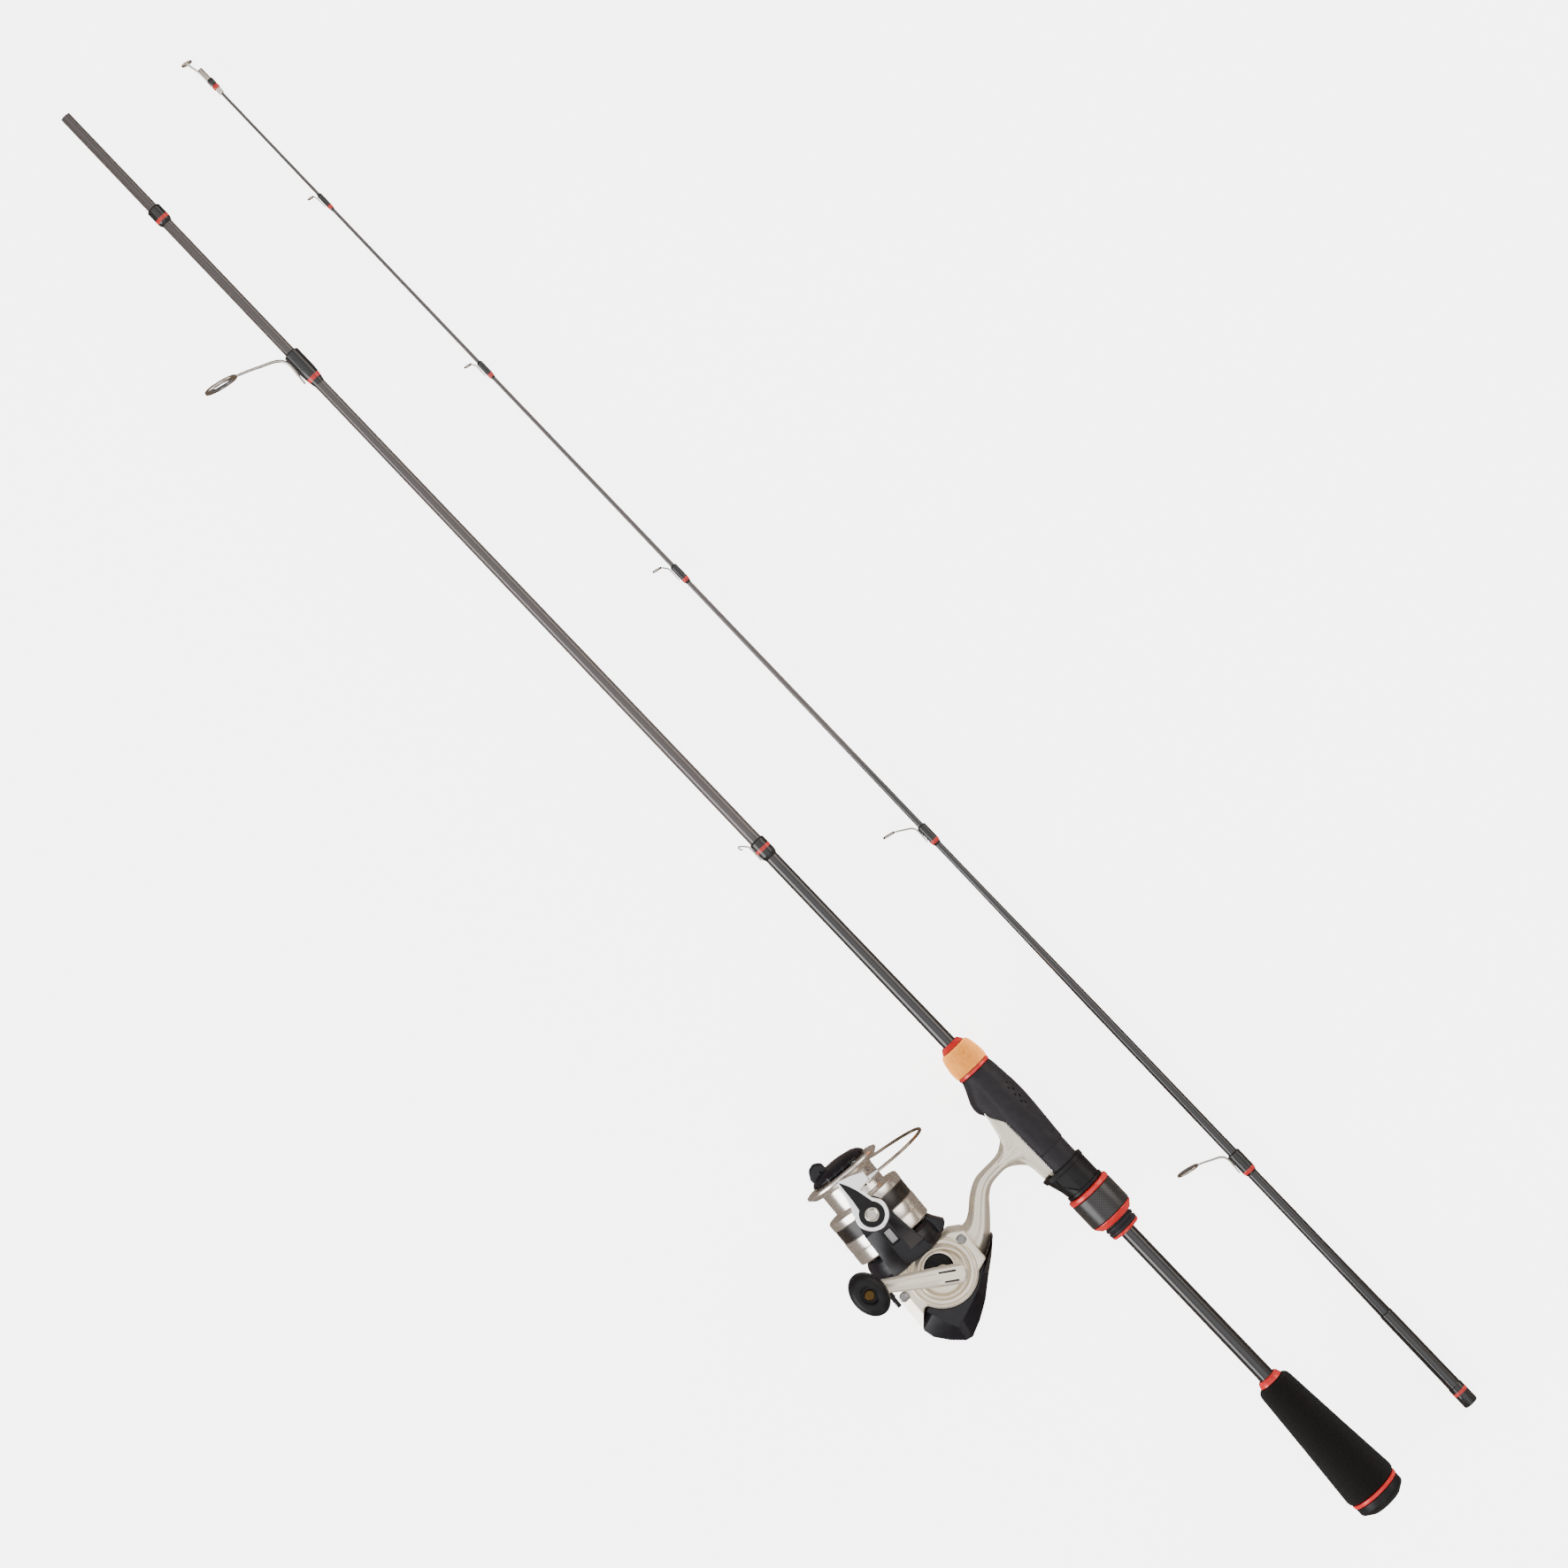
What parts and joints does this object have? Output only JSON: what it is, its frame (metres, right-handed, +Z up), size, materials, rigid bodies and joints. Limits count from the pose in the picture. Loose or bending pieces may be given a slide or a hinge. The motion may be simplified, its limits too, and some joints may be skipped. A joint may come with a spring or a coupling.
{
  "type": "spinning rod with reel",
  "caption": "Spinning rod lying apart in butt and tip sections, its reel clamped in the seat: crank, rotor, bail and spool all turn, the seat's hood screws back.",
  "frame": {"origin": "centre of the butt cap's end face, on the butt section's axis", "axes": "+X along the butt section towards the ferrule, +Y towards the reel and the guides, +Z up, on the crank's side of the reel; the rod lies flat"},
  "size_m": [1.0296, 0.2037, 0.0994],
  "materials": {
    "carbon_blank": "clear coated carbon",
    "black_plastic": "satin moulded",
    "hood_black": "gloss moulded",
    "foam_grip": "closed-cell foam, matte",
    "red_trim": "red anodised",
    "cork": "sanded natural cork",
    "carbon_weave": "woven pattern, satin",
    "stainless": "polished stainless",
    "champagne_metal": "champagne silver paint",
    "spool_silver": "bright anodised",
    "gear_zinc": "die cast, machined",
    "brass": "machined",
    "ceramic_ring": "polished",
    "drag_felt": "pressed felt"
  },
  "bodies": {
    "rod_butt": {"butt_blank": "carbon_blank", "butt_cap": "black_plastic", "butt_trim_ring": "red_trim", "rear_grip": "foam_grip", "rear_grip_check": "red_trim", "seat_rear_check": "red_trim", "reel_seat": "black_plastic", "seat_front_ring": "red_trim", "fore_grip": "cork", "fore_grip_check": "red_trim", "hook_keeper": "stainless", "stripper_frame": "stainless", "stripper_ring": "ceramic_ring", "reel_body": "champagne_metal", "side_cover": "champagne_metal", "rear_cover": "black_plastic", "side_cap": "black_plastic", "cover_screw_front": "stainless", "cover_screw_rear": "stainless", "crank_bearing_near": "stainless", "crank_bearing_far": "stainless", "pinion_bearing": "stainless"},
    "hood": {"sliding_hood": "hood_black"},
    "nut": {"hood_nut": "carbon_weave", "nut_rear_ring": "red_trim", "nut_front_ring": "red_trim"},
    "tip_section": {"tip_ferrule": "carbon_blank", "tip_blank": "carbon_blank", "guide_frame_5": "stainless", "guide_frame_4": "stainless", "guide_frame_3": "stainless", "guide_frame_2": "stainless", "guide_frame_1": "stainless", "guide_ring_5": "ceramic_ring", "guide_ring_4": "ceramic_ring", "tip_top": "stainless"},
    "crank": {"crank_shaft": "stainless", "drive_gear": "gear_zinc", "crank_arm": "champagne_metal", "knob_spindle": "stainless"},
    "knob": {"handle_knob": "black_plastic", "knob_cap": "brass"},
    "oscillation_wheel": {"oscillation_gear": "gear_zinc"},
    "rotor_unit": {"rotor": "black_plastic", "pinion": "brass", "rotor_nut": "brass", "bail_screw": "stainless", "far_bail_screw": "stainless"},
    "bail": {"bail_arm": "champagne_metal", "far_bail_arm": "champagne_metal", "bail_wire": "stainless"},
    "roller": {"line_roller": "stainless"},
    "shaft": {"main_shaft": "stainless", "oscillation_slider": "gear_zinc"},
    "spool_unit": {"spool": "spool_silver", "drag_washer": "drag_felt", "drag_retainer": "stainless"},
    "drag": {"drag_knob": "black_plastic"},
    "reverse_lever": {"anti_reverse_lever": "black_plastic"}
  },
  "joints": [
    {"name": "tip_section_slide", "type": "slide", "parent": "rod_butt", "child": "tip_section", "axis": [0.9984, 0.0523, 0.0193], "range_m": [0, 1.342]},
    {"name": "hood_slide", "type": "slide", "parent": "rod_butt", "child": "hood", "axis": [-1, 0, 0], "range_m": [0, 0.012]},
    {"name": "hood_nut_turn", "type": "hinge", "parent": "hood", "child": "nut", "pos_m": [0.2222, 0, 0], "axis": [1, 0, 0], "range_deg": [0, 2880]},
    {"name": "crank_turn", "type": "hinge", "parent": "rod_butt", "child": "crank", "pos_m": [0.2561, 0.08624, 0], "axis": [0, 0, 1], "continuous": true},
    {"name": "knob_spin", "type": "hinge", "parent": "crank", "child": "knob", "pos_m": [0.27892, 0.12, 0.05], "axis": [0, 0, 1], "continuous": true},
    {"name": "oscillation_gear_spin", "type": "hinge", "parent": "rod_butt", "child": "oscillation_wheel", "pos_m": [0.25677, 0.10334, -0.011], "axis": [0, 0, 1], "continuous": true},
    {"name": "rotor_spin", "type": "hinge", "parent": "rod_butt", "child": "rotor_unit", "pos_m": [0.27695, 0.09387, 0], "axis": [0.9974, -0.0715, 0], "continuous": true},
    {"name": "bail_swing", "type": "hinge", "parent": "rotor_unit", "child": "bail", "pos_m": [0.30557, 0.09182, 0], "axis": [0, 0, 1], "range_deg": [0, 115]},
    {"name": "line_roller_spin", "type": "hinge", "parent": "bail", "child": "roller", "pos_m": [0.32103, 0.085, 0.027], "axis": [0.0715, 0.9974, 0], "continuous": true},
    {"name": "spool_stroke", "type": "slide", "parent": "rod_butt", "child": "shaft", "axis": [0.9974, -0.0715, 0], "range_m": [0, 0.012]},
    {"name": "spool_spin", "type": "hinge", "parent": "shaft", "child": "spool_unit", "pos_m": [0.30687, 0.09173, 0], "axis": [0.9974, -0.0715, 0], "continuous": true},
    {"name": "drag_knob_turn", "type": "hinge", "parent": "shaft", "child": "drag", "pos_m": [0.3348, 0.08972, 0], "axis": [0.9974, -0.0715, 0], "range_deg": [-720, 720]},
    {"name": "anti_reverse_switch", "type": "hinge", "parent": "rod_butt", "child": "reverse_lever", "pos_m": [0.26347, 0.11288, 0], "axis": [0.0715, 0.9974, 0], "range_deg": [0, 30]}
  ],
  "couplings": [
    {"joint": "hood_slide", "follows": "hood_nut_turn", "m_per_rad": 0.00023873},
    {"joint": "rotor_spin", "follows": "crank_turn", "ratio": 5.2857},
    {"joint": "oscillation_gear_spin", "follows": "crank_turn", "ratio": -1.7222}
  ]
}
